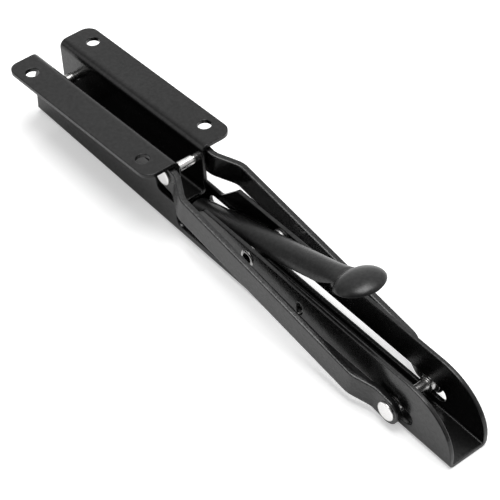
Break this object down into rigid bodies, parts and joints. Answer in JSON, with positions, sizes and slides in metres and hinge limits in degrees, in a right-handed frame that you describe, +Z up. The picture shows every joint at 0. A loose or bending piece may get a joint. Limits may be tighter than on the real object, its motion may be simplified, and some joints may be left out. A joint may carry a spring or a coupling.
{
  "type": "folding bracket",
  "caption": "Folding bracket for a drop leaf: wall plate hinged in a channel, side arms that slide in its slots, and a release lever with a round paddle.",
  "frame": {"origin": "midway between the two screw holes in the channel's base, on its underside", "axes": "+X along the channel from the hinge to the rounded nose, +Z up from the base, Y across"},
  "size_m": [0.3018, 0.0514, 0.0558],
  "materials": {
    "coat": "satin black powder coat",
    "steel": "bright turned",
    "spring_wire": "drawn wire"
  },
  "bodies": {
    "channel": {"channel": "coat", "hinge_pin": "steel", "lever_pin": "steel", "lever_washers": "steel", "lever_spring": "spring_wire"},
    "wall_plate": {"wall_plate": "coat", "arm_pin": "steel"},
    "arms": {"near_arm": "coat", "far_arm": "coat", "arm_end_rivets": "steel"},
    "slider": {"slide_pin": "steel", "slide_washers": "steel"},
    "lever": {"lever": "coat"}
  },
  "joints": [
    {"name": "fold", "type": "hinge", "parent": "channel", "child": "wall_plate", "pos_m": [-0.1411, 0, 0.0207], "axis": [0, -1, 0], "range_deg": [-3.65, 86.35]},
    {"name": "arm_pivot", "type": "hinge", "parent": "wall_plate", "child": "arms", "pos_m": [-0.04517, 0, 0.03273], "axis": [0, -1, 0], "range_deg": [-121.5, 6]},
    {"name": "slide", "type": "slide", "parent": "channel", "child": "slider", "axis": [1, 0, 0], "range_m": [-0.1425, 0.0065]},
    {"name": "release", "type": "hinge", "parent": "channel", "child": "lever", "pos_m": [0.014, 0, 0.0233], "axis": [0, -1, 0], "range_deg": [-8, 0], "stiffness_Nm_per_rad": 0.6, "springref_deg": 5.73}
  ],
  "couplings": [
    {"joint": "arm_pivot", "follows": "fold", "ratio": -1.3957},
    {"joint": "slide", "follows": "fold", "m_per_rad": -0.094305}
  ]
}
